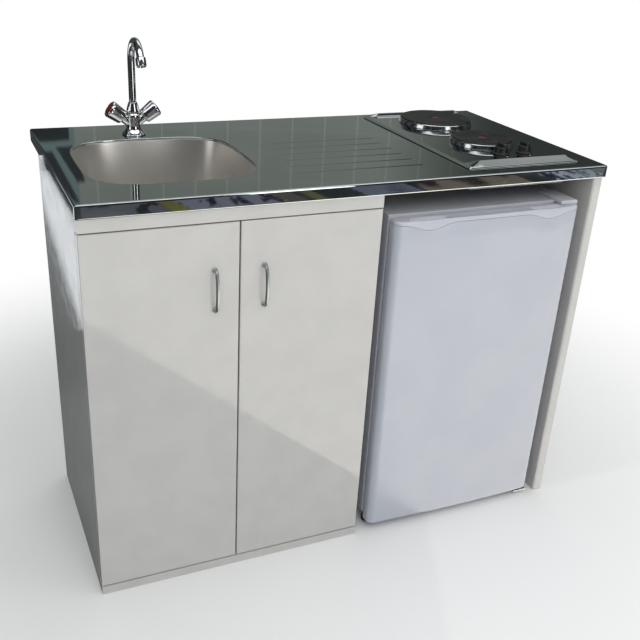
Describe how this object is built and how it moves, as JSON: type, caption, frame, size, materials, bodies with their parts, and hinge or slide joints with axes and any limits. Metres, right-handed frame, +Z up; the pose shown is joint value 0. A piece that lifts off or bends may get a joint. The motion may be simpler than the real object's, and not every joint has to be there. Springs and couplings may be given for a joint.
{
  "type": "kitchenette unit with sink and hob",
  "caption": "Compact kitchen unit: polished steel worktop with pressed sink, mixer tap and electric hob over a double-door cabinet and an under-worktop refrigerator.",
  "frame": {"origin": "middle of the footprint on the floor, handles included", "axes": "+X along the worktop from the sink to the hob, +Y from the doors to the wall, +Z up; seen from the front the sink is on the left"},
  "size_m": [1.2, 0.63, 1.1221],
  "materials": {
    "worktop_steel": "mirror polished",
    "satin_steel": "satin",
    "chrome": "polished",
    "tap_red": "gloss",
    "tap_blue": "gloss",
    "chipboard": "raw chipboard",
    "white_plastic": "matt",
    "galvanised": "zinc plated",
    "cast_iron": "matt black coating",
    "black_plastic": "semi-matt",
    "laminate": "cream-white gloss laminate",
    "hardboard": "white painted face",
    "fridge_white": "white enamel, gloss",
    "liner_plastic": "satin white",
    "clear_plastic": "clear",
    "shelf_glass": "clear",
    "gasket": "matt grey",
    "black_paint": "semi-gloss black"
  },
  "bodies": {
    "cabinet": {"worktop": "worktop_steel", "worktop_core": "chipboard", "sink_bowl": "satin_steel", "sink_waste": "chrome", "waste_trap": "white_plastic", "tap_body": "chrome", "hob_pan": "worktop_steel", "hob_box": "galvanised", "hotplate_rear": "cast_iron", "hotplate_ring_rear": "chrome", "hotplate_front": "cast_iron", "hotplate_ring_front": "chrome", "cabinet_side_left": "laminate", "cabinet_side_right": "laminate", "cabinet_rail_front": "laminate", "cabinet_plinth": "laminate", "cabinet_bottom": "laminate", "cabinet_rail_rear": "laminate", "cabinet_back": "hardboard", "hinge_arm_left_bottom": "galvanised", "hinge_arm_left_top": "galvanised", "hinge_arm_right_bottom": "galvanised", "hinge_arm_right_top": "galvanised", "end_panel": "laminate", "bay_rail": "laminate", "fridge_body": "fridge_white", "fridge_liner": "liner_plastic", "fridge_shelf": "shelf_glass", "crisper_cover": "shelf_glass", "crisper": "clear_plastic", "fridge_top": "liner_plastic", "fridge_hinge_cover": "liner_plastic", "fridge_hinge_lower": "galvanised", "fridge_foot_left": "black_plastic", "fridge_foot_right": "black_plastic", "compressor": "black_paint", "condenser": "black_paint"},
    "door_left": {"door_left": "laminate", "hinge_cup_left_bottom": "galvanised", "hinge_cup_left_top": "galvanised", "handle_left": "chrome"},
    "door_right": {"door_right": "laminate", "hinge_cup_right_bottom": "galvanised", "hinge_cup_right_top": "galvanised", "handle_right": "chrome"},
    "fridge_door": {"fridge_door": "fridge_white", "fridge_door_cap": "liner_plastic", "fridge_gasket": "gasket", "fridge_door_liner": "liner_plastic"},
    "tap_spout": {"tap_collar": "chrome", "tap_spout": "chrome", "tap_aerator": "chrome"},
    "tap_handle_hot": {"tap_handle_hot": "chrome", "tap_cap_hot": "tap_red"},
    "tap_handle_cold": {"tap_handle_cold": "chrome", "tap_cap_cold": "tap_blue"},
    "hob_knob_rear": {"hob_knob_rear": "black_plastic"},
    "hob_knob_front": {"hob_knob_front": "black_plastic"},
    "thermostat_knob": {"thermostat_knob": "white_plastic"},
    "waste_strainer": {"waste_strainer": "chrome"}
  },
  "joints": [
    {"name": "door_left_hinge", "type": "hinge", "parent": "cabinet", "child": "door_left", "pos_m": [-0.5975, -0.283, 0.4335], "axis": [0, 0, -1], "range_deg": [0, 100]},
    {"name": "door_right_hinge", "type": "hinge", "parent": "cabinet", "child": "door_right", "pos_m": [0.0235, -0.283, 0.4335], "axis": [0, 0, 1], "range_deg": [0, 100]},
    {"name": "fridge_door_hinge", "type": "hinge", "parent": "cabinet", "child": "fridge_door", "pos_m": [0.52, -0.279, 0.417], "axis": [0, 0, 1], "range_deg": [0, 110]},
    {"name": "spout_swivel", "type": "hinge", "parent": "cabinet", "child": "tap_spout", "pos_m": [-0.378, 0.214, 0.9503], "axis": [0, 0, 1], "range_deg": [-90, 90]},
    {"name": "hot_tap_turn", "type": "hinge", "parent": "cabinet", "child": "tap_handle_hot", "pos_m": [-0.378, 0.214, 0.922], "axis": [-0.809, 0, 0.5878], "range_deg": [0, 180]},
    {"name": "cold_tap_turn", "type": "hinge", "parent": "cabinet", "child": "tap_handle_cold", "pos_m": [-0.378, 0.214, 0.922], "axis": [0.809, 0, 0.5878], "range_deg": [0, 180]},
    {"name": "rear_plate_knob", "type": "hinge", "parent": "cabinet", "child": "hob_knob_rear", "pos_m": [0.39, -0.158, 0.906], "axis": [0, 0, -1], "range_deg": [0, 270]},
    {"name": "front_plate_knob", "type": "hinge", "parent": "cabinet", "child": "hob_knob_front", "pos_m": [0.454, -0.158, 0.906], "axis": [0, 0, -1], "range_deg": [0, 270]},
    {"name": "thermostat_turn", "type": "hinge", "parent": "cabinet", "child": "thermostat_knob", "pos_m": [0.4667, -0.085, 0.718], "axis": [-1, 0, 0], "range_deg": [0, 270]},
    {"name": "strainer_lift", "type": "slide", "parent": "cabinet", "child": "waste_strainer", "axis": [0, 0, 1], "range_m": [0, 0.05]}
  ]
}
